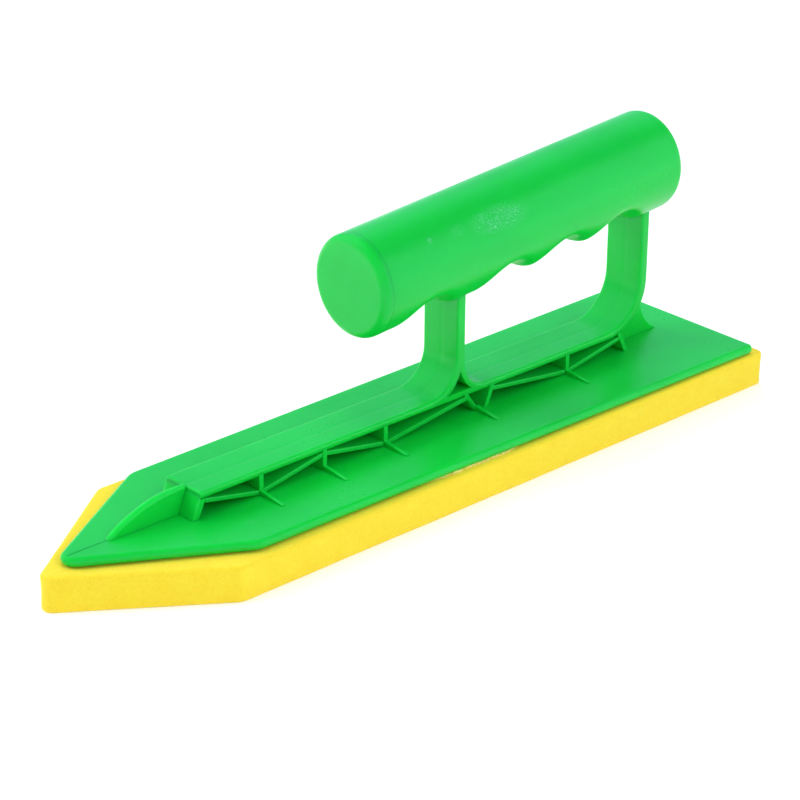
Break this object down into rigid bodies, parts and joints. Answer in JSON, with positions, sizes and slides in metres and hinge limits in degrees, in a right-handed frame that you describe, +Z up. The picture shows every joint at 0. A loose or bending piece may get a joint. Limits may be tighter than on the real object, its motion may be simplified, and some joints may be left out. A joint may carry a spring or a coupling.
{
  "type": "grout float",
  "caption": "Pointed hand float: a soft foam pad under a trussed plastic plate, with a hollow tilted grip held on two flat posts.",
  "frame": {"origin": "under the middle of the foam pad, on its working face", "axes": "+Z up away from the worked surface, -X towards the pointed nose, +Y to the tool's right when looking towards the rear"},
  "size_m": [0.2816, 0.07, 0.096],
  "materials": {
    "green_moulding": "glossy moulded green polypropylene, lightly scuffed",
    "green_cap": "glossy moulded green polypropylene, same batch as the handle",
    "foam": "fine-pored yellow foam rubber, matte, edges cut and softly rounded",
    "adhesive": "thin film of dried contact adhesive"
  },
  "bodies": {
    "root": {"foam_pad": "foam", "glue_layer": "adhesive", "base_plate": "green_moulding", "spine_strip": "green_moulding", "spine_web": "green_moulding", "spine_front_wall": "green_moulding", "nose_fin": "green_moulding", "front_post": "green_moulding", "front_post_web": "green_moulding", "rear_post": "green_moulding", "rear_gusset": "green_moulding", "grip_barrel": "green_moulding", "grip_end_cap": "green_cap", "cross_rib_1": "green_moulding", "cross_rib_2": "green_moulding", "cross_rib_3": "green_moulding", "cross_rib_4": "green_moulding", "cross_rib_5": "green_moulding", "cross_rib_6": "green_moulding", "cross_rib_7": "green_moulding", "brace_1": "green_moulding", "brace_2": "green_moulding", "brace_3": "green_moulding", "brace_4": "green_moulding", "brace_5": "green_moulding", "brace_6": "green_moulding"}
  },
  "joints": []
}
